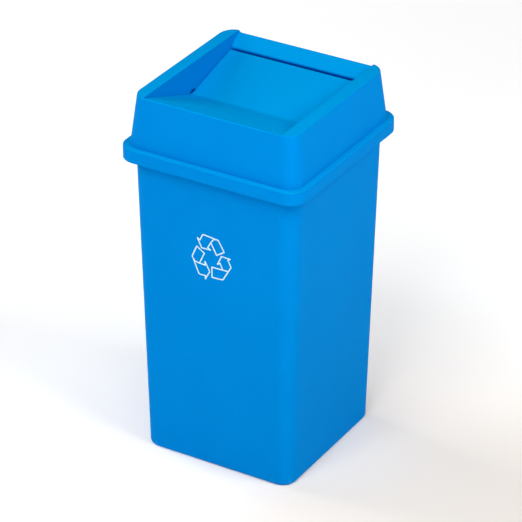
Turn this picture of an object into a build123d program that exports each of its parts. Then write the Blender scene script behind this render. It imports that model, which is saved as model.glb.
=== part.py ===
from build123d import *
import math
import os

# Square recycling bin with a lift-off hood and a weighted swing door.
# Millimetres, +Z up, origin at the middle of the base, front towards -Y.

# ---- Bin body ----
BASE_SIDE = 422.6
BASE_CORNER_R = 38.0
TOP_SIDE = 462.4
TOP_CORNER_R = 46.0
BODY_HEIGHT = 855.0
BODY_WALL = 4.0
FLOOR = 5.0
BASE_EDGE_R = 10.0
INSIDE_EDGE_R = 6.0
FOOT_RING = 30.0
FOOT_RECESS = 2.5
RIM_OVERHANG = 17.8
RIM_LIP_DEPTH = 20.0
RIM_LIP_WALL = 3.5
RIM_EDGE_R = 3.0

# ---- Hood (the lift-off lid) ----
LID_WALL = 3.5
LID_SEAT_GAP = 0.3
COLLAR_GAP = 3.0
COLLAR_DEPTH = 31.0
COLLAR_CORNER_R = 49.0
COLLAR_TOP_R = 3.0
COLLAR_BOTTOM_R = 1.2
LEDGE_WIDTH = 15.1
HOOD_TAPER = 13.7
HOOD_HEIGHT = 133.2
HOOD_CORNER_R = 42.0
HOOD_EDGE_R = 5.0
CHEEK_RIM = 34.7
RECESS_DRAFT = 1.2
RIM_INNER_R = 1.5
BACK_STEP = 7.0
BACK_SLOPE_RUN = 40.0
BACK_SLOPE_RISE = 24.0
BAND_CORNER_R = 7.0
CHEEK_DEPTH = 26.0

# ---- Swing door ----
DOOR_WALL = 3.0
DOOR_SIDE_GAP = 1.9
DOOR_FRONT_GAP = 6.0
DOOR_BACK_GAP = 13.0
DOOR_FRONT_DROP = 2.0
DOOR_BEND_Y = -14.0
DOOR_BEND_ABOVE_PIVOT = 20.6
DOOR_BACK_ANGLE = 13.7
DOOR_BEND_R = 36.0
DOOR_FLANGE = 16.0
DOOR_LIP = 12.0
DOOR_RIB = 2.5
DOOR_RIB_DEPTH = 9.0
DOOR_RIB_COUNT = 3

# ---- Pivots ----
PIVOT_BELOW_RIM = 99.0
PIN_R = 8.0
PIN_HEAD_STEP = 4.5
PIN_HEAD = 3.0
PIN_INSET = 20.0
PIN_EDGE_R = 1.0
PIN_RUNNING_GAP = 0.05
PIN_END_GAP = 0.6
PIN_BOSS_WALL = 5.0
EAR_WALL = 8.0
KEYHOLE_GAP = 3.5
KEYHOLE_RISE = 13.0
PIVOT_PAD_MARGIN = 8.0
PIVOT_PAD = 3.0

# ---- Door stops on the front wall ----
STOP_COUNT = 2
STOP_END_MARGIN = 58.0
STOP_WIDTH = 50.0
STOP_REACH = 12.0
STOP_WALL = 3.0
STOP_GUSSET = 16.0
STOP_GAP = 0.3

# ---- Counterweight ----
WEIGHT_END_GAP = 18.0
WEIGHT_DEPTH = 40.0
WEIGHT_THICK = 6.0
WEIGHT_Y = -26.0
WEIGHT_TOP_BELOW_DOOR = 13.0
WEIGHT_RIB = 3.0
WEIGHT_RIB_MARGIN = 2.0
BOLT_COUNT = 3
BOLT_END_MARGIN = 40.0
BOLT_R = 2.5
BOLT_HOLE_GAP = 0.25
BOLT_HEAD = 3.5
BOLT_HEX = 8.0
NUT = 4.0
NUT_THREAD_GAP = 0.05
BOLT_END = 2.0

# ---- Printed recycling symbol on the front wall ----
SYMBOL_X = -3.0
SYMBOL_Z = 605.0
SYMBOL_NARROWING = 0.86
SYMBOL_STROKE = 3.2
SYMBOL_CORNER_R = 5.0
SYMBOL_INK = 0.25

# ---- Places that follow from the sizes above ----
LID_SEAT_Z = BODY_HEIGHT + LID_SEAT_GAP
COLLAR_SIDE = TOP_SIDE + 2 * (RIM_OVERHANG + COLLAR_GAP + LID_WALL)
COLLAR_BOTTOM_Z = LID_SEAT_Z - COLLAR_DEPTH
LEDGE_Z = LID_SEAT_Z + LID_WALL
LID_TOP_Z = LEDGE_Z + HOOD_HEIGHT
HOOD_FOOT_SIDE = COLLAR_SIDE - 2 * LEDGE_WIDTH
HOOD_TOP_SIDE = HOOD_FOOT_SIDE - 2 * HOOD_TAPER
RECESS_WIDTH = HOOD_TOP_SIDE - 2 * CHEEK_RIM
HOOD_LEAN = (HOOD_FOOT_SIDE - HOOD_TOP_SIDE) / 2 / HOOD_HEIGHT
PIVOT_Z = LID_TOP_Z - PIVOT_BELOW_RIM
DOOR_BEND_Z = PIVOT_Z + DOOR_BEND_ABOVE_PIVOT
BACK_BAND_FRONT_Y = HOOD_TOP_SIDE / 2 - BACK_SLOPE_RUN
BACK_BAND_FRONT_Z = LID_TOP_Z - BACK_STEP - BACK_SLOPE_RISE
FRONT_WALL_Y = -(HOOD_TOP_SIDE / 2 - LID_WALL)
DOOR_FRONT_Y = FRONT_WALL_Y + DOOR_FRONT_GAP
DOOR_FRONT_Z = LID_TOP_Z - DOOR_FRONT_DROP
DOOR_BACK_Y = BACK_BAND_FRONT_Y - DOOR_BACK_GAP
BODY_LEAN = (TOP_SIDE - BASE_SIDE) / 2 / BODY_HEIGHT


def body_half(z):
    """Half the width of the bin's outer wall at height z."""
    return BASE_SIDE / 2 + BODY_LEAN * z


def body_corner(z):
    """Corner radius of the bin's outer wall at height z."""
    return BASE_CORNER_R + (TOP_CORNER_R - BASE_CORNER_R) * z / BODY_HEIGHT


def hood_half(z):
    """Half the width of the hood's outer wall at height z."""
    return HOOD_TOP_SIDE / 2 + HOOD_LEAN * (LID_TOP_Z - z)


def recess_half(z):
    """Half the width between the cheeks at height z."""
    return RECESS_WIDTH / 2 - (LID_TOP_Z - z) * math.tan(math.radians(RECESS_DRAFT))


DOOR_HALF = recess_half(PIVOT_Z) - DOOR_SIDE_GAP
PIN_OUTER_X = recess_half(PIVOT_Z) + LID_WALL + PIVOT_PAD + PIN_END_GAP
PIN_HEAD_R = PIN_R + PIN_HEAD_STEP
EAR_R = PIN_R + EAR_WALL
KEYHOLE_R = PIN_HEAD_R + KEYHOLE_GAP
WEIGHT_HALF = DOOR_HALF - WEIGHT_END_GAP


def rounded_square(half, corner, z):
    """A square with round corners, lying at height z."""
    return Plane.XY.offset(z) * RectangleRounded(2 * half, 2 * half, corner)


def tapered_block(low, high):
    """A block between two rounded squares, each given as (half, corner, z)."""
    return loft([rounded_square(*low), rounded_square(*high)])


def side_plate(points, half_width):
    """A side outline, as (y, z) points, made solid to the half width on each side of X = 0."""
    outline = Plane.YZ * make_face(Polyline(*points, close=True))
    return extrude(outline, amount=half_width, both=True)


def side_slice(points, low_x, high_x):
    """A side outline, as (y, z) points, made solid from low_x to high_x."""
    outline = Plane.YZ.offset(low_x) * make_face(Polyline(*points, close=True))
    return extrude(outline, amount=high_x - low_x)


def cross_rod(radius, low_x, high_x, y, z):
    """A round rod along X."""
    start = Plane(origin=(low_x, y, z), x_dir=(0, 1, 0), z_dir=(1, 0, 0))
    return extrude(start * Circle(radius), amount=high_x - low_x)


def box_between(low, high):
    """A block between its lowest and highest corners."""
    size = [b - a for a, b in zip(low, high)]
    middle = [(a + b) / 2 for a, b in zip(low, high)]
    return Pos(*middle) * Box(*size)


def mirrored(solid):
    """The same solid on the other side of X = 0."""
    return mirror(solid, about=Plane.YZ)


def spread(count, half):
    """Places spread evenly from minus half to plus half."""
    return [half * (2 * i / (count - 1) - 1) for i in range(count)]


def between_ends(count, half):
    """Places that divide the width evenly, none of them at its ends."""
    return [half * (2 * (i + 1) / (count + 1) - 1) for i in range(count)]


# ---------------------------------------------------------------- bin body

def bin_body():
    """Tapered square tub with a turned-down rim and a foot ring."""
    outer = tapered_block(
        (body_half(0), body_corner(0), 0),
        (body_half(BODY_HEIGHT), TOP_CORNER_R, BODY_HEIGHT),
    )
    outer = fillet(outer.edges().group_by(Axis.Z)[0], BASE_EDGE_R)
    inner = tapered_block(
        (body_half(FLOOR + FOOT_RECESS) - BODY_WALL, body_corner(FLOOR) - BODY_WALL, FLOOR + FOOT_RECESS),
        (body_half(BODY_HEIGHT) - BODY_WALL, TOP_CORNER_R - BODY_WALL, BODY_HEIGHT),
    )
    inner = fillet(inner.edges().group_by(Axis.Z)[0], INSIDE_EDGE_R)
    foot = rounded_square(body_half(0) - FOOT_RING, BASE_CORNER_R, 0)
    tub = outer + rim() - inner - extrude(foot, amount=FOOT_RECESS)
    return tub


def rim():
    """Flange around the tub's mouth, turned down at its outer edge."""
    half = TOP_SIDE / 2 + RIM_OVERHANG
    block = extrude(rounded_square(half, TOP_CORNER_R, BODY_HEIGHT - RIM_LIP_DEPTH), amount=RIM_LIP_DEPTH)
    block = fillet(block.edges().group_by(Axis.Z)[-1], RIM_EDGE_R)
    under = rounded_square(half - RIM_LIP_WALL, TOP_CORNER_R - RIM_LIP_WALL, BODY_HEIGHT - RIM_LIP_DEPTH)
    return block - extrude(under, amount=RIM_LIP_DEPTH - BODY_WALL)


# -------------------------------------------------------------------- hood

def hood_block(inset, low_z, high_z, corner):
    """The hood's tapered outline between two heights, drawn in by inset."""
    return tapered_block(
        (hood_half(low_z) - inset, corner, low_z),
        (hood_half(high_z) - inset, corner, high_z),
    )


def lid_shell():
    """Collar, ledge and four leaning walls under a closed top."""
    half = COLLAR_SIDE / 2
    outline = rounded_square(half, COLLAR_CORNER_R, COLLAR_BOTTOM_Z)
    collar = extrude(outline, amount=LEDGE_Z - COLLAR_BOTTOM_Z)
    collar = fillet(collar.edges().group_by(Axis.Z)[-1], COLLAR_TOP_R)
    collar = fillet(collar.edges().group_by(Axis.Z)[0], COLLAR_BOTTOM_R)
    hood = hood_block(0, LID_SEAT_Z, LID_TOP_Z, HOOD_CORNER_R)
    hood = fillet(hood.edges().group_by(Axis.Z)[-1], HOOD_EDGE_R)
    skirt_room = rounded_square(half - LID_WALL, COLLAR_CORNER_R - LID_WALL, COLLAR_BOTTOM_Z)
    hood_room = hood_block(LID_WALL, COLLAR_BOTTOM_Z, LID_TOP_Z - LID_WALL, HOOD_CORNER_R - LID_WALL)
    return collar + hood - extrude(skirt_room, amount=COLLAR_DEPTH) - hood_room


def recess_prism(widen, low_z, high_z):
    """The space between the cheeks' faces, narrower towards the bottom, widened on each side."""
    corners = [(-1, high_z), (1, high_z), (1, low_z), (-1, low_z)]
    points = [(side * (recess_half(z) + widen), z) for side, z in corners]
    outline = Plane.XZ * make_face(Polyline(*points, close=True))
    return extrude(outline, amount=HOOD_FOOT_SIDE / 2, both=True)


def recess_cut():
    """What is cut from the closed top: the door's opening and the slope behind it."""
    above = LID_TOP_Z + LID_WALL
    back_y = HOOD_TOP_SIDE / 2
    back_z = LID_TOP_Z - BACK_STEP
    slope = BACK_SLOPE_RISE / BACK_SLOPE_RUN
    beyond = back_y + LID_WALL + BACK_STEP
    side = side_plate(
        [
            (FRONT_WALL_Y, above),
            (FRONT_WALL_Y, COLLAR_BOTTOM_Z),
            (BACK_BAND_FRONT_Y, COLLAR_BOTTOM_Z),
            (BACK_BAND_FRONT_Y, BACK_BAND_FRONT_Z),
            (beyond, back_z + slope * (beyond - back_y)),
            (beyond, above),
        ],
        HOOD_TOP_SIDE / 2,
    )
    return side & recess_prism(0, COLLAR_BOTTOM_Z, above)


def cheek_walls():
    """Inner walls of the two hollow cheeks, deeper around the pivots."""
    slab = recess_prism(LID_WALL, COLLAR_BOTTOM_Z, LID_TOP_Z - LID_WALL / 2)
    slab -= recess_prism(0, COLLAR_BOTTOM_Z, LID_TOP_Z)
    low = PIVOT_Z - CHEEK_DEPTH
    lift = DOOR_BEND_Z - low
    outline = [
        (-HOOD_FOOT_SIDE / 2, LID_TOP_Z),
        (-HOOD_FOOT_SIDE / 2, DOOR_FRONT_Z - lift),
        (DOOR_FRONT_Y, DOOR_FRONT_Z - lift),
        (-EAR_R - KEYHOLE_R, low),
        (EAR_R + KEYHOLE_R, low),
        (BACK_BAND_FRONT_Y, BACK_BAND_FRONT_Z - lift),
        (HOOD_FOOT_SIDE / 2, BACK_BAND_FRONT_Z - lift),
        (HOOD_FOOT_SIDE / 2, LID_TOP_Z),
    ]
    walls = slab & side_plate(outline, HOOD_FOOT_SIDE / 2)
    walls += pivot_pad() + mirrored(pivot_pad())
    return walls & hood_block(LID_WALL / 2, COLLAR_BOTTOM_Z, LID_TOP_Z, HOOD_CORNER_R)


def pivot_pad():
    """Round thickening behind the right-hand cheek's keyhole."""
    face = recess_half(PIVOT_Z) + LID_WALL
    return cross_rod(KEYHOLE_R + PIVOT_PAD_MARGIN, face - LID_WALL / 2, face + PIVOT_PAD, 0, PIVOT_Z)


def back_band():
    """Sloping strip behind the door's slot."""
    back_y = HOOD_TOP_SIDE / 2 - LID_WALL / 2
    slope = BACK_SLOPE_RISE / BACK_SLOPE_RUN
    back_z = BACK_BAND_FRONT_Z + slope * (back_y - BACK_BAND_FRONT_Y)
    drop = LID_WALL * math.hypot(1, slope)
    plate = side_plate(
        [
            (BACK_BAND_FRONT_Y, BACK_BAND_FRONT_Z),
            (back_y, back_z),
            (back_y, back_z - drop),
            (BACK_BAND_FRONT_Y, BACK_BAND_FRONT_Z - drop),
        ],
        HOOD_TOP_SIDE / 2,
    )
    return plate & recess_prism(LID_WALL / 2, COLLAR_BOTTOM_Z, LID_TOP_Z)


def keyhole():
    """Opening in the right-hand cheek: a seat for the pin below a round way in for its head."""
    low_x = DOOR_HALF
    high_x = PIN_OUTER_X
    seat_r = PIN_R + PIN_RUNNING_GAP
    seat = cross_rod(seat_r, low_x, high_x, 0, PIVOT_Z)
    slot = box_between((low_x, -seat_r, PIVOT_Z), (high_x, seat_r, PIVOT_Z + KEYHOLE_RISE))
    way_in = cross_rod(KEYHOLE_R, low_x, high_x, 0, PIVOT_Z + KEYHOLE_RISE)
    return seat + slot + way_in


def door_stop(x):
    """Gusseted tab on the front wall that the door's front lip rests on."""
    top = door_lip_z() - STOP_GAP
    front = -hood_half(top) + LID_WALL / 2
    back = DOOR_FRONT_Y + STOP_REACH
    low_x = x - STOP_WIDTH / 2
    tab = box_between((low_x, front, top - STOP_WALL), (low_x + STOP_WIDTH, back, top))
    gusset_points = [
        (front, top - STOP_WALL),
        (back - STOP_WALL, top - STOP_WALL),
        (front, top - STOP_WALL - STOP_GUSSET),
    ]
    for side in (low_x, low_x + STOP_WIDTH - STOP_WALL):
        tab += side_slice(gusset_points, side, side + STOP_WALL)
    return tab


def eased_edges(lid):
    """Round the rims' inner edges and the two corners where the band meets the cheeks."""
    middle_y = HOOD_TOP_SIDE / 2 - BACK_SLOPE_RUN / 2
    middle_z = BACK_BAND_FRONT_Z + BACK_SLOPE_RISE / 2
    corners = lid.edges().filter_by(lambda e: is_at(e, middle_y, middle_z) and abs(e.center().X) > 1)
    lid = fillet(corners, BAND_CORNER_R)
    rims = lid.edges().filter_by(Axis.Y).filter_by(lambda e: abs(e.center().Z - LID_TOP_Z) < RIM_INNER_R)
    rims = rims.filter_by(lambda e: abs(abs(e.center().X) - RECESS_WIDTH / 2) < RIM_INNER_R)
    return fillet(rims, RIM_INNER_R)


def is_at(edge, y, z):
    """Whether an edge's middle lies near the line at this y and z along X."""
    middle = edge.center()
    return abs(middle.Y - y) < LID_WALL / 2 and abs(middle.Z - z) < LID_WALL / 2


def lid_hood():
    """The lid: a collar over the bin's rim, a hood, two hollow cheeks and the door's opening."""
    lid = lid_shell() + cheek_walls() + back_band() - recess_cut()
    lid = eased_edges(lid)
    for x in spread(STOP_COUNT, RECESS_WIDTH / 2 - STOP_END_MARGIN - STOP_WIDTH / 2):
        lid += door_stop(x)
    return lid - keyhole() - mirrored(keyhole())


# -------------------------------------------------------------- swing door

def door_back_z():
    """Height of the door's back edge."""
    return DOOR_BEND_Z + (DOOR_BACK_Y - DOOR_BEND_Y) * math.tan(math.radians(DOOR_BACK_ANGLE))


def door_top_z(y):
    """Height of the door's upper face, with the bend taken as sharp."""
    if y < DOOR_BEND_Y:
        share = (y - DOOR_FRONT_Y) / (DOOR_BEND_Y - DOOR_FRONT_Y)
        return DOOR_FRONT_Z + share * (DOOR_BEND_Z - DOOR_FRONT_Z)
    return DOOR_BEND_Z + (y - DOOR_BEND_Y) * math.tan(math.radians(DOOR_BACK_ANGLE))


def door_lip_z():
    """Height of the front lip's lower edge."""
    return DOOR_FRONT_Z - DOOR_LIP


def under_door(depth, start_y=DOOR_FRONT_Y, end_y=DOOR_BACK_Y):
    """Side outline between the door's upper face and a line the given depth below it."""
    stations = [start_y, DOOR_BEND_Y, end_y]
    upper = [(y, door_top_z(y)) for y in stations]
    lower = [(y, door_top_z(y) - depth) for y in reversed(stations)]
    return upper + lower


def bent_panel():
    """The door's sheet: a short front leaf and a back leaf, joined by a round bend."""
    sheet = side_plate(under_door(DOOR_WALL), DOOR_HALF)
    bend = sheet.edges().filter_by(Axis.X)
    bend = bend.filter_by(lambda e: abs(e.center().Y - DOOR_BEND_Y) < DOOR_WALL)
    upper, lower = bend.sort_by(Axis.Z)[-1], bend.sort_by(Axis.Z)[0]
    sheet = fillet(upper, DOOR_BEND_R)
    lower = sheet.edges().filter_by(Axis.X).sort_by_distance(lower.center())[0]
    return fillet(lower, DOOR_BEND_R + DOOR_WALL)


def side_flange():
    """Turned-down edge at the door's right-hand end, with the ear that holds the pin."""
    low_x = DOOR_HALF - DOOR_WALL
    flange = side_slice(under_door(DOOR_FLANGE), low_x, DOOR_HALF)
    ear = cross_rod(EAR_R, low_x, DOOR_HALF, 0, PIVOT_Z)
    ear_top = DOOR_BEND_Z - DOOR_WALL
    ear_outline = [(-EAR_R, PIVOT_Z), (-EAR_R, ear_top), (EAR_R, ear_top), (EAR_R, PIVOT_Z)]
    ear += side_slice(ear_outline, low_x, DOOR_HALF)
    boss = cross_rod(PIN_R + PIN_BOSS_WALL, DOOR_HALF - PIN_INSET - DOOR_WALL, DOOR_HALF, 0, PIVOT_Z)
    return flange + ear + boss


def pin_socket():
    """Blind hole for the right-hand pivot pin."""
    return cross_rod(PIN_R, DOOR_HALF - PIN_INSET, DOOR_HALF, 0, PIVOT_Z)


def edge_lips():
    """Turned-down lips along the door's front and back edges."""
    length = DOOR_HALF - DOOR_WALL / 2
    front = under_lip(DOOR_FRONT_Y, DOOR_FRONT_Y + DOOR_WALL, DOOR_FRONT_Z)
    back = under_lip(DOOR_BACK_Y - DOOR_WALL, DOOR_BACK_Y, door_back_z())
    return side_plate(front, length) + side_plate(back, length)


def under_lip(low_y, high_y, edge_z):
    """Side outline of a lip that hangs below the door's edge."""
    return [
        (low_y, door_top_z(low_y)),
        (high_y, door_top_z(high_y)),
        (high_y, edge_z - DOOR_LIP),
        (low_y, edge_z - DOOR_LIP),
    ]


def door_ribs():
    """Long ribs under both leaves, from behind the stops to the back lip."""
    ribs = []
    outline = under_door(DOOR_RIB_DEPTH, DOOR_FRONT_Y + STOP_REACH + STOP_GAP)
    for x in between_ends(DOOR_RIB_COUNT, DOOR_HALF):
        ribs.append(side_slice(outline, x - DOOR_RIB / 2, x + DOOR_RIB / 2))
    return ribs


def weight_bottom_z():
    """Height of the counterweight's lower edge."""
    return DOOR_BEND_Z - WEIGHT_TOP_BELOW_DOOR - WEIGHT_DEPTH


def weight_rib():
    """Cross rib behind the counterweight."""
    top = door_top_z(WEIGHT_Y + WEIGHT_RIB) - DOOR_WALL / 2
    half = WEIGHT_HALF + WEIGHT_RIB_MARGIN
    low = (-half, WEIGHT_Y, weight_bottom_z() - WEIGHT_RIB_MARGIN)
    return box_between(low, (half, WEIGHT_Y + WEIGHT_RIB, top))


def swing_door():
    """Bent door with side flanges, lips, ribs, pin sockets and the counterweight's rib."""
    door = bent_panel() + side_flange() + mirrored(side_flange()) + edge_lips() + weight_rib()
    for rib in door_ribs():
        door += rib
    return door - pin_socket() - mirrored(pin_socket()) - bolt_holes()


# ------------------------------------------------- counterweight and bolts

def weight_middle_z():
    """Height of the counterweight's middle, where its bolts are."""
    return weight_bottom_z() + WEIGHT_DEPTH / 2


def bolt_rod(radius, x, low_y, high_y):
    """A round rod along Y at the height of the bolts."""
    start = Plane(origin=(x, low_y, weight_middle_z()), x_dir=(0, 0, 1), z_dir=(0, 1, 0))
    return extrude(start * Circle(radius), amount=high_y - low_y)


def hexagon(x, low_y, high_y):
    """A hexagonal block along Y at the height of the bolts."""
    start = Plane(origin=(x, low_y, weight_middle_z()), x_dir=(0, 0, 1), z_dir=(0, 1, 0))
    return extrude(start * RegularPolygon(BOLT_HEX / 2, 6, major_radius=False), amount=high_y - low_y)


def bolt_holes():
    """Clearance holes through the counterweight and its rib."""
    holes = []
    for x in spread(BOLT_COUNT, WEIGHT_HALF - BOLT_END_MARGIN):
        holes.append(bolt_rod(BOLT_R + BOLT_HOLE_GAP, x, WEIGHT_Y - WEIGHT_THICK, WEIGHT_Y + WEIGHT_RIB))
    return holes


def counterweight_bar():
    """Flat steel bar that shuts the door."""
    low = (-WEIGHT_HALF, WEIGHT_Y - WEIGHT_THICK, weight_bottom_z())
    bar = box_between(low, (WEIGHT_HALF, WEIGHT_Y, weight_bottom_z() + WEIGHT_DEPTH))
    return bar - bolt_holes()


def counterweight_bolts():
    """Hexagon bolts through the bar and the rib."""
    bolts = []
    head_y = WEIGHT_Y - WEIGHT_THICK
    end_y = WEIGHT_Y + WEIGHT_RIB + NUT + BOLT_END
    for x in spread(BOLT_COUNT, WEIGHT_HALF - BOLT_END_MARGIN):
        bolts.append(hexagon(x, head_y - BOLT_HEAD, head_y) + bolt_rod(BOLT_R, x, head_y, end_y))
    return Compound(children=bolts)


def counterweight_nuts():
    """Nuts behind the rib."""
    nuts = []
    low_y = WEIGHT_Y + WEIGHT_RIB
    for x in spread(BOLT_COUNT, WEIGHT_HALF - BOLT_END_MARGIN):
        thread = bolt_rod(BOLT_R + NUT_THREAD_GAP, x, low_y, low_y + NUT)
        nuts.append(hexagon(x, low_y, low_y + NUT) - thread)
    return Compound(children=nuts)


# -------------------------------------------------------------- pivot pins

def right_pivot_pin():
    """Headed pin, pressed into the door's ear and turning in the cheek's keyhole."""
    shank = cross_rod(PIN_R, DOOR_HALF - PIN_INSET, PIN_OUTER_X, 0, PIVOT_Z)
    head = cross_rod(PIN_HEAD_R, PIN_OUTER_X, PIN_OUTER_X + PIN_HEAD, 0, PIVOT_Z)
    return shank + fillet(head.edges().filter_by(GeomType.CIRCLE), PIN_EDGE_R)


# ------------------------------------------------------------------ symbol

def front_plane():
    """Plane on the leaning front wall, at the symbol's centre, with its own Y up the wall."""
    lean = math.atan(BODY_LEAN)
    normal = (0, -math.cos(lean), -math.sin(lean))
    return Plane(origin=(SYMBOL_X, -body_half(SYMBOL_Z), SYMBOL_Z), x_dir=(1, 0, 0), z_dir=normal)


def turned(points, turn):
    """Outline points turned about the symbol's centre by an angle in degrees, and then narrowed."""
    cosine = math.cos(math.radians(turn))
    sine = math.sin(math.radians(turn))
    return [(SYMBOL_NARROWING * (x * cosine - y * sine), x * sine + y * cosine) for x, y in points]


def stroke(points, corners):
    """A closed line of even width, with some of its corners rounded."""
    outline = make_face(Polyline(*points, close=True))
    rounded = [outline.vertices().sort_by_distance((*points[i], 0))[0] for i in corners]
    outline = fillet(rounded, SYMBOL_CORNER_R)
    wider = offset(outline, amount=SYMBOL_STROKE / 2, kind=Kind.ARC)
    return wider - offset(outline, amount=-SYMBOL_STROKE / 2, kind=Kind.INTERSECTION)


def arrow_over(turn):
    """An arrow whose head lies over its tail, its outline drawn about the symbol's centre."""
    tail = [(-46.5, 24), (-21.5, 9.5), (-39, -22), (-54, -19.5), (-63, -8)]
    fold = [(-59.4, -12.6), (-54, -19.5), (-39, -22)]
    head = fold + [(-20, -23), (-20, -13), (-5, -38), (-20, -62), (-20, -53), (-41, -53)]
    return stroke(turned(tail, turn), [3, 4]) + stroke(turned(head, turn), [1, 8])


def arrow_under(turn):
    """An arrow whose tail lies over its head, its outline drawn about the symbol's centre."""
    tail = [(-46.5, 24), (-21.5, 9.5), (-48, -38), (-63, -8)]
    fold = [(-48, -38), (-39, -22)]
    head = fold + [(-20, -23), (-20, -13), (-5, -38), (-20, -62), (-20, -53), (-41, -53)]
    return stroke(turned(tail, turn), [3]) + stroke(turned(head, turn), [7])


def recycling_symbol():
    """Three folded arrows in a ring, printed on the front wall."""
    arrows = [arrow_over(0), arrow_under(120), arrow_over(240)]
    return Compound(children=[extrude(front_plane() * shape, amount=SYMBOL_INK) for shape in arrows])


def main():
    """Write every piece to its own STEP file."""
    os.makedirs("parts", exist_ok=True)
    pieces = {
        "bin_body": bin_body(),
        "recycling_symbol": recycling_symbol(),
        "lid_hood": lid_hood(),
        "swing_door": swing_door(),
        "pivot_pin_right": right_pivot_pin(),
        "pivot_pin_left": mirrored(right_pivot_pin()),
        "counterweight_bar": counterweight_bar(),
        "counterweight_bolts": counterweight_bolts(),
        "counterweight_nuts": counterweight_nuts(),
    }
    for name, piece in pieces.items():
        export_step(piece, f"parts/{name}.step")
        print(f"{name:22s} {len(piece.solids())} solids  {piece.volume / 1000:9.1f} cm3")


main()
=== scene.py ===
"""Looks of a square recycling bin with a lift-off hood and a weighted swing door.

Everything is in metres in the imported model's frame: +Z up, the front with the symbol towards -Y.
"""

import contextlib
import logging
import math
from collections.abc import Callable, Iterator
from dataclasses import dataclass, field
from enum import Enum

import bmesh
import bpy
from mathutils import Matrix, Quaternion, Vector


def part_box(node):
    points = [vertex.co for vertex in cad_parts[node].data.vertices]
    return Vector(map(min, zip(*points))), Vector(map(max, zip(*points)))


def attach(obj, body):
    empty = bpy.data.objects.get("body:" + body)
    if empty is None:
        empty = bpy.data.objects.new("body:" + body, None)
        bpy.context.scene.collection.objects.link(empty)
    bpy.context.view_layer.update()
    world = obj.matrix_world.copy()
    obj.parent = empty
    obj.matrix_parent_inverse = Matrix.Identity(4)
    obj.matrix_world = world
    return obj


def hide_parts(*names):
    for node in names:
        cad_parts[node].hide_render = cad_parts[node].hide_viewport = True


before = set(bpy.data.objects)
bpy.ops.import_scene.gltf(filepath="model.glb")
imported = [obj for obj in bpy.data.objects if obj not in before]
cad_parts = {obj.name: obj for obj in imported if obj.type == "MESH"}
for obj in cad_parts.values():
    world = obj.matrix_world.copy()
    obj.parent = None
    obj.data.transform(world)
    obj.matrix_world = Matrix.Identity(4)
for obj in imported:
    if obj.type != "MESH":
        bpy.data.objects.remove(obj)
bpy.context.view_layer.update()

logging.basicConfig(level=logging.INFO, format="%(levelname)s %(message)s")
log = logging.getLogger("recycling_bin")

Colour = tuple[float, float, float, float]
Point = tuple[float, float, float]
Span = tuple[float, float]
Socket = bpy.types.NodeSocket

BIN_MIDDLE = (0.0, 0.0, 0.6)
MERGE_DISTANCE = 0.000001
FLAT_ANGLE = math.radians(0.15)
SHARP_ANGLE = math.radians(35.0)
SMOOTH_ANGLE = math.radians(32.0)
WHITE = (1.0, 1.0, 1.0, 1.0)
NOISE_SPAN = (0.3, 0.7)
WHOLE_RANGE = (0.0, 1.0)


class Body(Enum):
    """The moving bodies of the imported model."""

    LID = "lid"
    DOOR = "door"


# ------------------------------------------------------------------ node sheets


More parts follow.
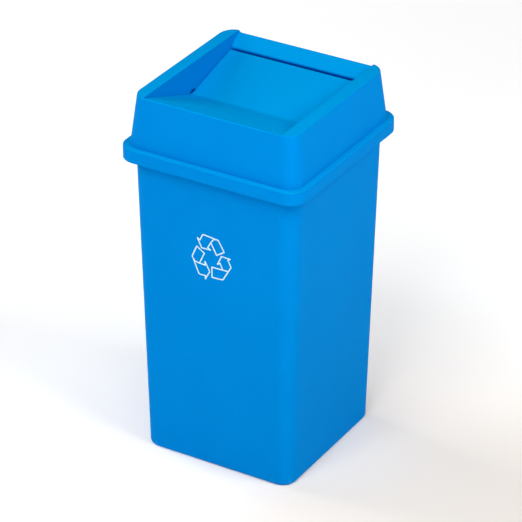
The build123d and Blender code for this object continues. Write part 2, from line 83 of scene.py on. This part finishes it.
class NodeSheet:
    """A material's node tree, with short ways to add and join its nodes."""

    cell_smoothness = 0.6

    def __init__(self, name: str) -> None:
        """Start an empty material with one Principled shader.

        Args:
            name: The material's name.
        """
        self.material = bpy.data.materials.new(name)
        self.material.use_nodes = True
        self.nodes = self.material.node_tree.nodes
        self.nodes.clear()
        self.shader = self.nodes.new("ShaderNodeBsdfPrincipled")
        output = self.nodes.new("ShaderNodeOutputMaterial")
        self.join(self.shader.outputs["BSDF"], output.inputs["Surface"])
        self.place = self.nodes.new("ShaderNodeTexCoord").outputs["Object"]

    def join(self, start: Socket, end: Socket) -> None:
        """Link two sockets."""
        self.material.node_tree.links.new(start, end)

    def noise(self, scale: float, detail: float = 3.0, stretch: Point = (1, 1, 1)) -> Socket:
        """Add a noise pattern on the piece's own coordinates.

        Args:
            scale: Cells in a metre.
            detail: Octaves of finer noise.
            stretch: Scale along each axis, for grain that runs one way.

        Returns:
            The pattern's value, between 0 and 1.
        """
        mapping = self.nodes.new("ShaderNodeMapping")
        mapping.inputs["Scale"].default_value = stretch
        self.join(self.place, mapping.inputs["Vector"])
        pattern = self.nodes.new("ShaderNodeTexNoise")
        pattern.inputs["Scale"].default_value = scale
        pattern.inputs["Detail"].default_value = detail
        self.join(mapping.outputs["Vector"], pattern.inputs["Vector"])
        return pattern.outputs["Fac"]

    def cells(self, scale: float) -> Socket:
        """Add a pattern of small rounded cells, as a mould's etched grain has.

        Args:
            scale: Cells in a metre.

        Returns:
            The distance to the nearest cell's middle.
        """
        pattern = self.nodes.new("ShaderNodeTexVoronoi")
        pattern.feature = "SMOOTH_F1"
        pattern.inputs["Scale"].default_value = scale
        pattern.inputs["Smoothness"].default_value = self.cell_smoothness
        self.join(self.place, pattern.inputs["Vector"])
        return pattern.outputs["Distance"]

    def spread(self, value: Socket, start: Span, end: Span) -> Socket:
        """Map one range of values smoothly to another.

        Args:
            value: The socket to map.
            start: Its two values.
            end: What they become.

        Returns:
            The mapped value.
        """
        ranged = self.nodes.new("ShaderNodeMapRange")
        ranged.interpolation_type = "SMOOTHSTEP"
        self.join(value, ranged.inputs["Value"])
        ranged.inputs["From Min"].default_value = start[0]
        ranged.inputs["From Max"].default_value = start[1]
        ranged.inputs["To Min"].default_value = end[0]
        ranged.inputs["To Max"].default_value = end[1]
        return ranged.outputs["Result"]

    def height(self) -> Socket:
        """Give the height above the floor at each point of the surface."""
        axes = self.nodes.new("ShaderNodeSeparateXYZ")
        self.join(self.place, axes.inputs["Vector"])
        return axes.outputs["Z"]

    def distance(self, spot: Point) -> Socket:
        """Measure how far each point of the surface is from a spot.

        Args:
            spot: The spot, in the object's own metres.

        Returns:
            The distance.
        """
        length = self.nodes.new("ShaderNodeVectorMath")
        length.operation = "DISTANCE"
        self.join(self.place, length.inputs[0])
        length.inputs[1].default_value = spot
        return length.outputs["Value"]

    def facing_up(self) -> Socket:
        """Give the upward part of the surface's own direction: 1 on a level top, 0 on a wall."""
        coordinates = self.nodes.new("ShaderNodeTexCoord")
        parts = self.nodes.new("ShaderNodeSeparateXYZ")
        self.join(coordinates.outputs["Normal"], parts.inputs[0])
        return parts.outputs["Z"]

    def times(self, first: Socket, second: Socket) -> Socket:
        """Multiply two values."""
        product = self.nodes.new("ShaderNodeMath")
        product.operation = "MULTIPLY"
        self.join(first, product.inputs[0])
        self.join(second, product.inputs[1])
        return product.outputs["Value"]

    def mix(self, share: Socket, low: Colour | Socket, high: Colour | Socket) -> Socket:
        """Mix two colours.

        Args:
            share: How much of the second colour shows.
            low: The first colour, or a socket that gives it.
            high: The second colour, or a socket that gives it.

        Returns:
            The mixed colour.
        """
        mixer = self.nodes.new("ShaderNodeMix")
        mixer.data_type = "RGBA"
        self.join(share, mixer.inputs["Factor"])
        for name, value in (("A", low), ("B", high)):
            socket = next(s for s in mixer.inputs if s.name == name and s.type == "RGBA")
            if isinstance(value, Socket):
                self.join(value, socket)
            else:
                socket.default_value = value
        return next(s for s in mixer.outputs if s.type == "RGBA")

    def bump(self, height: Socket, depth: float, strength: float, under: Socket | None = None) -> Socket:
        """Raise the surface by a pattern.

        Args:
            height: The pattern.
            depth: How deep it is, in metres.
            strength: How much of it shows.
            under: A bump that this one lies on.

        Returns:
            The normal.
        """
        node = self.nodes.new("ShaderNodeBump")
        node.inputs["Distance"].default_value = depth
        node.inputs["Strength"].default_value = strength
        self.join(height, node.inputs["Height"])
        if under is not None:
            self.join(under, node.inputs["Normal"])
        return node.outputs["Normal"]

    def set(self, **values: object) -> None:
        """Set or link the shader's sockets, each named with underscores for its spaces."""
        for name, value in values.items():
            socket = self.shader.inputs[name.replace("_", " ")]
            if isinstance(value, Socket):
                self.join(value, socket)
            else:
                socket.default_value = value


# -------------------------------------------------------------------- finishes


def shade(colour: Colour, share: float) -> Colour:
    """Make a colour lighter or darker.

    Args:
        colour: The colour.
        share: What each channel is multiplied by.

    Returns:
        The new colour.
    """
    return (colour[0] * share, colour[1] * share, colour[2] * share, 1.0)


@dataclass(frozen=True)
class MouldedPlastic:
    """Satin polyethylene from an etched mould, a little uneven in colour and scuffed at the foot, with
    painted top light on upward faces and a painted faint blue glow.
    """

    name: str = "moulded_blue_plastic"
    colour: Colour = (0.0, 0.216, 0.578, 1.0)
    darker: float = 0.985
    lighter: float = 1.015
    cloud_scale: float = 6.0
    # Painted top light: a paler, greener blue for upward faces, standing in for the stronger light that falls
    # on tops.
    painted_top_light: Colour = (0.0, 0.268, 0.58, 1.0)
    painted_top_light_span: Span = (0.3, 0.9)
    scuffed: Colour = (0.02, 0.31, 0.78, 1.0)
    scratch_scale: float = 60.0
    scratch_detail: float = 6.0
    scratch_stretch: Point = (1, 1, 0.12)
    scratch_span: Span = (0.56, 0.72)
    scratch_share: float = 0.5
    foot_height: float = 0.035
    gloss: float = 0.004
    gloss_tint: Colour = (0.0, 0.45, 1.0, 1.0)
    roughness: Span = (0.42, 0.52)
    roughness_scale: float = 25.0
    grain_scale: float = 900.0
    grain_depth: float = 0.00006
    grain_strength: float = 0.5
    wave_scale: float = 5.0
    wave_detail: float = 1.0
    wave_depth: float = 0.0012
    wave_strength: float = 0.35
    glow: float = 0.15
    glow_depth: float = 0.004
    glow_reach: Point = (0.1, 0.5, 1.0)
    # Painted glow: a faint blue emission all over the plastic, which lightens its slots and recesses where
    # shade falls.
    painted_glow_colour: Colour = (0.0, 0.15, 1.0, 1.0)
    painted_glow_strength: float = 0.08

    def make(self) -> bpy.types.Material:
        """Build the material.

        Returns:
            The material.
        """
        sheet = NodeSheet(self.name)
        cloud = sheet.spread(sheet.noise(self.cloud_scale), NOISE_SPAN, WHOLE_RANGE)
        fresh = sheet.mix(cloud, shade(self.colour, self.darker), shade(self.colour, self.lighter))
        # Painted top light: upward-facing surfaces are mixed towards the paler blue.
        painted_top_mask = sheet.spread(sheet.facing_up(), self.painted_top_light_span, WHOLE_RANGE)
        base = sheet.mix(painted_top_mask, fresh, self.painted_top_light)
        marks = sheet.noise(self.scratch_scale, self.scratch_detail, self.scratch_stretch)
        scratches = sheet.spread(marks, self.scratch_span, (0.0, self.scratch_share))
        near_foot = sheet.spread(sheet.height(), (0.0, self.foot_height), (1.0, 0.0))
        scuffs = sheet.times(scratches, near_foot)
        sheet.set(
            Base_Color=sheet.mix(scuffs, base, self.scuffed),
            Roughness=sheet.spread(sheet.noise(self.roughness_scale), NOISE_SPAN, self.roughness),
            Specular_IOR_Level=self.gloss,
            Specular_Tint=self.gloss_tint,
            Subsurface_Weight=self.glow,
            Subsurface_Radius=self.glow_reach,
            Subsurface_Scale=self.glow_depth,
            # Painted glow: faint blue emission over the whole plastic.
            Emission_Color=self.painted_glow_colour,
            Emission_Strength=self.painted_glow_strength,
        )
        wave = sheet.bump(sheet.noise(self.wave_scale, self.wave_detail), self.wave_depth, self.wave_strength)
        grain = sheet.bump(sheet.cells(self.grain_scale), self.grain_depth, self.grain_strength, wave)
        sheet.set(Normal=grain)
        return sheet.material


@dataclass(frozen=True)
class PrintedInk:
    """White screen-printed ink with fine pinholes."""

    name: str = "white_screen_print"
    colour: Colour = (0.6, 0.8, 0.86, 1.0)
    thin: Colour = (0.3, 0.6, 0.8, 1.0)
    hole_scale: float = 700.0
    hole_detail: float = 2.0
    hole_span: Span = (0.66, 0.76)
    hole_share: float = 0.6
    roughness: Span = (0.4, 0.55)
    roughness_scale: float = 200.0
    gloss: float = 0.3
    grain_scale: float = 900.0
    grain_depth: float = 0.00003
    grain_strength: float = 0.4

    def make(self) -> bpy.types.Material:
        """Build the material.

        Returns:
            The material.
        """
        sheet = NodeSheet(self.name)
        specks = sheet.noise(self.hole_scale, self.hole_detail)
        holes = sheet.spread(specks, self.hole_span, (0.0, self.hole_share))
        sheet.set(
            Base_Color=sheet.mix(holes, self.colour, self.thin),
            Roughness=sheet.spread(sheet.noise(self.roughness_scale), NOISE_SPAN, self.roughness),
            Specular_IOR_Level=self.gloss,
            Normal=sheet.bump(sheet.noise(self.grain_scale), self.grain_depth, self.grain_strength),
        )
        return sheet.material


@dataclass(frozen=True)
class MouldedNylon:
    """Black nylon with a satin skin and fine rub marks around the pins."""

    name: str = "black_nylon"
    colour: Colour = (0.012, 0.012, 0.014, 1.0)
    rubbed: Colour = (0.05, 0.05, 0.055, 1.0)
    rub_scale: float = 300.0
    rub_detail: float = 4.0
    rub_stretch: Point = (0.1, 1, 1)
    rub_span: Span = (0.5, 0.75)
    roughness: Span = (0.35, 0.5)
    roughness_scale: float = 150.0
    grain_scale: float = 1800.0
    grain_depth: float = 0.00004
    grain_strength: float = 0.4

    def make(self) -> bpy.types.Material:
        """Build the material.

        Returns:
            The material.
        """
        sheet = NodeSheet(self.name)
        marks = sheet.noise(self.rub_scale, self.rub_detail, self.rub_stretch)
        rubs = sheet.spread(marks, self.rub_span, WHOLE_RANGE)
        sheet.set(
            Base_Color=sheet.mix(rubs, self.colour, self.rubbed),
            Roughness=sheet.spread(sheet.noise(self.roughness_scale), NOISE_SPAN, self.roughness),
            Normal=sheet.bump(sheet.cells(self.grain_scale), self.grain_depth, self.grain_strength),
        )
        return sheet.material


@dataclass(frozen=True)
class WorkshopSteel:
    """Bare or plated steel, with mill streaks along its length and some dull patches."""

    name: str
    colour: Colour
    dull: Colour
    roughness: Span
    patch_scale: float = 35.0
    patch_detail: float = 5.0
    patch_span: Span = (0.42, 0.68)
    streak_scale: float = 900.0
    streak_detail: float = 3.0
    streak_stretch: Point = (0.04, 1, 1)
    streak_depth: float = 0.00005
    streak_strength: float = 0.5

    def make(self) -> bpy.types.Material:
        """Build the material.

        Returns:
            The material.
        """
        sheet = NodeSheet(self.name)
        patches = sheet.spread(sheet.noise(self.patch_scale, self.patch_detail), self.patch_span, WHOLE_RANGE)
        streaks = sheet.noise(self.streak_scale, self.streak_detail, self.streak_stretch)
        sheet.set(
            Base_Color=sheet.mix(patches, self.colour, self.dull),
            Metallic=1.0,
            Roughness=sheet.spread(streaks, NOISE_SPAN, self.roughness),
            Normal=sheet.bump(streaks, self.streak_depth, self.streak_strength),
        )
        return sheet.material


@dataclass(frozen=True)
class StudioFloor:
    """Plain pale floor with a faint unevenness, which glows more with distance from the bin, and a painted
    warm tint beside the bin that cancels the blue light the bin throws onto it.
    """

    name: str = "pale_floor"
    colour: Colour = (0.89, 0.89, 0.885, 1.0)
    lighter: float = 1.01
    cloud_scale: float = 1.5
    roughness: float = 0.9
    # Painted warm tint beside the bin, which cancels the blue light that the bin throws onto the floor.
    painted_warm_tint: Colour = (0.95, 0.88, 0.80, 1.0)
    shaded_spot: Point = (0.6, -0.2, 0.0)
    glow_start: float = 0.3
    glow_end: float = 1.3
    glow: float = 0.31
    horizon: float = 9.0
    horizon_glow: float = 0.92

    def make(self) -> bpy.types.Material:
        """Build the material.

        Returns:
            The material.
        """
        sheet = NodeSheet(self.name)
        cloud = sheet.spread(sheet.noise(self.cloud_scale), NOISE_SPAN, WHOLE_RANGE)
        distance = sheet.distance(self.shaded_spot)
        far = sheet.spread(distance, (self.glow_start, self.glow_end), WHOLE_RANGE)
        level = sheet.spread(distance, (self.glow_end, self.horizon), (self.glow, self.horizon_glow))
        open_floor = sheet.mix(cloud, self.colour, shade(self.colour, self.lighter))
        sheet.set(
            # Painted warm tint near the bin, giving way to the open floor further out.
            Base_Color=sheet.mix(far, self.painted_warm_tint, open_floor),
            Roughness=self.roughness,
            Specular_IOR_Level=0.0,
            Emission_Color=WHITE,
            Emission_Strength=sheet.times(far, level),
        )
        return sheet.material


def dress(node: str, finish: bpy.types.Material) -> None:
    """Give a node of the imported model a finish.

    Args:
        node: The node's name.
        finish: The material that all its faces get.
    """
    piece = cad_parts[node]
    for place in piece.material_slots:
        place.material = finish
    log.info("%s: %s", node, finish.name)


# --------------------------------------------------------------- the workbench


@contextlib.contextmanager
def edit_mode(piece: bpy.types.Object) -> Iterator[None]:
    """Open one piece in edit mode, and leave it again at the end.

    Args:
        piece: The piece to work on.
    """
    bpy.ops.object.select_all(action="DESELECT")
    piece.select_set(True)
    bpy.context.view_layer.objects.active = piece
    bpy.ops.object.mode_set(mode="EDIT")
    try:
        yield
    finally:
        bpy.ops.object.mode_set(mode="OBJECT")


def copy_of(node: str, name: str) -> bpy.types.Object:
    """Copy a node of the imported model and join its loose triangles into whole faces.

    Args:
        node: The node's name.
        name: The copy's name.

    Returns:
        The copy.
    """
    piece = bpy.data.objects.new(name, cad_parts[node].data.copy())
    piece.data.name = name
    bpy.context.scene.collection.objects.link(piece)
    with edit_mode(piece):
        bpy.ops.mesh.select_all(action="SELECT")
        bpy.ops.mesh.customdata_custom_splitnormals_clear()
        bpy.ops.mesh.remove_doubles(threshold=MERGE_DISTANCE)
        bpy.ops.mesh.dissolve_limited(angle_limit=FLAT_ANGLE)
    return piece


@dataclass(frozen=True)
class EdgeRound:
    """Some sharp edges of a moulding and the radius that they get."""

    name: str
    where: Callable[[Vector], bool]
    radius: float
    segments: int = 3

    def select(self, piece: bpy.types.Object) -> int:
        """Select the edges by their sharpness and the place of their middles.

        Args:
            piece: The piece, which is in edit mode.

        Returns:
            How many edges are selected.
        """
        bpy.ops.mesh.select_mode(type="EDGE")
        bpy.ops.mesh.select_all(action="DESELECT")
        mesh = bmesh.from_edit_mesh(piece.data)
        found = 0
        for edge in mesh.edges:
            if len(edge.link_faces) != 2 or edge.calc_face_angle() < SHARP_ANGLE:
                continue
            if self.where((edge.verts[0].co + edge.verts[1].co) / 2):
                edge.select_set(True)
                found += 1
        mesh.select_flush_mode()
        bmesh.update_edit_mesh(piece.data)
        return found

    def apply(self, piece: bpy.types.Object) -> None:
        """Round the edges.

        Args:
            piece: The piece, which is in edit mode.
        """
        found = self.select(piece)
        if found:
            bpy.ops.mesh.bevel(
                offset_type="OFFSET",
                offset=self.radius,
                segments=self.segments,
                affect="EDGES",
                clamp_overlap=False,
            )
        log.info("%s: rounded %s, %d edges", piece.name, self.name, found)


def finish_piece(piece: bpy.types.Object, node: str, body: Body, finish: bpy.types.Material) -> None:
    """Smooth and dress a plastic piece, and let it stand for its node.

    Args:
        piece: The finished mesh.
        node: The node that it replaces.
        body: The body that it moves with.
        finish: Its material.
    """
    piece.data.materials.clear()
    piece.data.materials.append(finish)
    bpy.ops.object.select_all(action="DESELECT")
    piece.select_set(True)
    bpy.context.view_layer.objects.active = piece
    bpy.ops.object.shade_smooth_by_angle(angle=SMOOTH_ANGLE)
    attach(piece, body.value)
    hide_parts(node)
    log.info("%s: %d faces, %s", piece.name, len(piece.data.polygons), finish.name)


# ---------------------------------------------------------------- the object


@dataclass
class Tub:
    """The square tub and its printed symbol."""

    plastic: bpy.types.Material
    ink: bpy.types.Material

    def build(self) -> None:
        """Dress the tub and its symbol."""
        dress("bin_body", self.plastic)
        dress("recycling_symbol", self.ink)


@dataclass
class Hood:
    """The lift-off hood, with the softened edges of a moulding."""

    plastic: bpy.types.Material
    band_back_y: float = 0.2255
    band_low_z: float = 0.9842
    band_half_width: float = 0.1853
    wall_inner_y: float = -0.2232
    band_front_y: float = 0.1867
    band_front_z: float = 0.961
    near: float = 0.0006
    soft: float = 0.0028
    crisp: float = 0.0009

    def at_band_end(self, place: Vector) -> bool:
        """Whether a point is on the back edge of the band or at the rims' ends beside it."""
        inside = abs(place.x) < self.band_half_width
        return inside and place.y > self.band_back_y and place.z > self.band_low_z

    def at_front_lip(self, place: Vector) -> bool:
        """Whether a point is on the inner top edge of the front wall."""
        inside = abs(place.x) < self.band_half_width
        return inside and abs(place.y - self.wall_inner_y) < self.near and place.z > self.band_low_z

    def at_band_front(self, place: Vector) -> bool:
        """Whether a point is on the upper front edge of the band."""
        return abs(place.y - self.band_front_y) < self.near and place.z > self.band_front_z - self.near

    def build(self) -> None:
        """Model and dress the hood."""
        piece = copy_of("lid_hood", "hood_moulding")
        with edit_mode(piece):
            EdgeRound("band's back edge", self.at_band_end, self.soft).apply(piece)
            EdgeRound("front lip", self.at_front_lip, self.crisp, segments=2).apply(piece)
            EdgeRound("band's front edge", self.at_band_front, self.crisp, segments=2).apply(piece)
        finish_piece(piece, "lid_hood", Body.LID, self.plastic)


@dataclass
class Door:
    """The swing door with its pins and counterweight."""

    plastic: bpy.types.Material
    nylon: bpy.types.Material
    bar_steel: bpy.types.Material
    plated_steel: bpy.types.Material
    back_z: float = 0.9594
    bend_y: float = -0.014
    bend_z: float = 0.9136
    near: float = 0.0006
    side_depth: float = 0.002
    edge_radius: float = 0.0013
    front_y: float = field(init=False)
    front_z: float = field(init=False)
    back_y: float = field(init=False)
    half_width: float = field(init=False)

    def __post_init__(self) -> None:
        """Take the door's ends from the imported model."""
        low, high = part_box("swing_door")
        self.front_y, self.front_z = low[1], high[2]
        self.back_y, self.half_width = high[1], high[0]

    def at_front(self, place: Vector) -> bool:
        """Whether a point is on the top edge of the front lip."""
        return abs(place.y - self.front_y) < self.near and abs(place.z - self.front_z) < self.near

    def at_back(self, place: Vector) -> bool:
        """Whether a point is on the top edge of the back lip."""
        return abs(place.y - self.back_y) < self.near and abs(place.z - self.back_z) < self.near

    def at_side(self, place: Vector) -> bool:
        """Whether a point is on the upper edge of either end."""
        at_end = abs(abs(place.x) - self.half_width) < self.near
        return at_end and place.z > self.leaf_z(place.y) - self.side_depth

    def at_rim(self, place: Vector) -> bool:
        """Whether a point is on any upper edge of the door."""
        return self.at_front(place) or self.at_back(place) or self.at_side(place)

    def leaf_z(self, y: float) -> float:
        """Height of the leaves' upper faces, with the bend taken as sharp.

        Args:
            y: The place along the door.

        Returns:
            The height there.
        """
        end_y, end_z = (self.front_y, self.front_z) if y < self.bend_y else (self.back_y, self.back_z)
        return self.bend_z + (end_z - self.bend_z) * (y - self.bend_y) / (end_y - self.bend_y)

    def shape_panel(self) -> None:
        """Model and dress the door's moulding."""
        piece = copy_of("swing_door", "door_moulding")
        with edit_mode(piece):
            EdgeRound("upper edges", self.at_rim, self.edge_radius).apply(piece)
        finish_piece(piece, "swing_door", Body.DOOR, self.plastic)

    def build(self) -> None:
        """Model the door and dress everything fixed to it."""
        self.shape_panel()
        dress("pivot_pin_left", self.nylon)
        dress("pivot_pin_right", self.nylon)
        dress("counterweight_bar", self.bar_steel)
        dress("counterweight_bolts", self.plated_steel)
        dress("counterweight_nuts", self.plated_steel)


# ------------------------------------------------------------------ the studio


@dataclass(frozen=True)
class SoftBox:
    """A square area light that faces a point."""

    name: str
    place: Point
    aim: Point
    side: float
    power: float

    def build(self) -> None:
        """Hang the light."""
        lamp = bpy.data.lights.new(self.name, "AREA")
        lamp.shape = "SQUARE"
        lamp.size = self.side
        lamp.energy = self.power
        holder = bpy.data.objects.new(self.name, lamp)
        bpy.context.scene.collection.objects.link(holder)
        holder.location = self.place
        facing = Vector(self.aim) - Vector(self.place)
        holder.rotation_mode = "QUATERNION"
        holder.rotation_quaternion = facing.to_track_quat("-Z", "Y")


@dataclass(frozen=True)
class Camera:
    """The camera, placed around a point on the bin by two angles in degrees."""

    aim: Point = (-0.0154, 0.0349, 0.4700)
    distance: float = 8.3
    azimuth: float = 30.55
    elevation: float = 29.19
    roll: float = 0.15
    lens: float = 227.8
    sensor: float = 36.0
    far_limit: float = 100.0

    def build(self) -> None:
        """Set up the camera and make it the scene's own."""
        around = math.radians(self.azimuth)
        above = math.radians(self.elevation)
        flat = math.cos(above)
        back = Vector((math.sin(around) * flat, -math.cos(around) * flat, math.sin(above)))
        data = bpy.data.cameras.new("studio_camera")
        data.lens = self.lens
        data.sensor_width = self.sensor
        data.clip_end = self.far_limit
        holder = bpy.data.objects.new("studio_camera", data)
        bpy.context.scene.collection.objects.link(holder)
        holder.location = Vector(self.aim) + back * self.distance
        holder.rotation_mode = "QUATERNION"
        turn = Quaternion((0, 0, 1), math.radians(self.roll))
        holder.rotation_quaternion = (-back).to_track_quat("-Z", "Y") @ turn
        bpy.context.scene.camera = holder


@dataclass
class Studio:
    """Floor, sky, lights and camera."""

    floor_side: float = 60.0
    sky_strength: float = 0.01
    lights: tuple[SoftBox, ...] = (
        SoftBox("high_front_light", (0.3, -4.0, 5.8), BIN_MIDDLE, 3.0, 236.0),
        SoftBox("high_right_light", (4.2, -0.3, 4.9), BIN_MIDDLE, 3.0, 202.0),
        SoftBox("left_light", (-5.2, 0.0, 3.4), BIN_MIDDLE, 3.0, 148.0),
        SoftBox("front_right_light", (3.4, -4.6, 3.6), BIN_MIDDLE, 3.5, 88.0),
    )
    camera: Camera = field(default_factory=Camera)

    def lay_floor(self) -> None:
        """Lay the floor."""
        bpy.ops.mesh.primitive_plane_add(size=self.floor_side, location=(0, 0, 0))
        ground = bpy.context.object
        ground.name = "studio_floor"
        ground.data.materials.append(StudioFloor().make())

    def hang_sky(self) -> None:
        """Surround the scene with even white light."""
        world = bpy.data.worlds.new("studio_sky")
        world.use_nodes = True
        background = world.node_tree.nodes["Background"]
        background.inputs["Color"].default_value = WHITE
        background.inputs["Strength"].default_value = self.sky_strength
        bpy.context.scene.world = world

    def build(self) -> None:
        """Set up the whole studio."""
        self.lay_floor()
        self.hang_sky()
        for light in self.lights:
            light.build()
        self.camera.build()
        bpy.context.scene.view_settings.view_transform = "Standard"
        bpy.context.scene.view_settings.look = "None"
        log.info("studio: floor, sky, %d lights and camera", len(self.lights))


def main() -> None:
    """Build the bin and the studio in order."""
    bpy.ops.object.select_all(action="DESELECT")
    plastic = MouldedPlastic().make()
    bar_steel = WorkshopSteel("hot_rolled_bar", (0.2, 0.2, 0.21, 1.0), (0.12, 0.11, 0.1, 1.0), (0.45, 0.6))
    plated = WorkshopSteel("zinc_plate", (0.62, 0.63, 0.62, 1.0), (0.5, 0.5, 0.46, 1.0), (0.25, 0.4))
    Tub(plastic, PrintedInk().make()).build()
    Hood(plastic).build()
    Door(plastic, MouldedNylon().make(), bar_steel.make(), plated.make()).build()
    Studio().build()


if __name__ == "__main__":
    main()
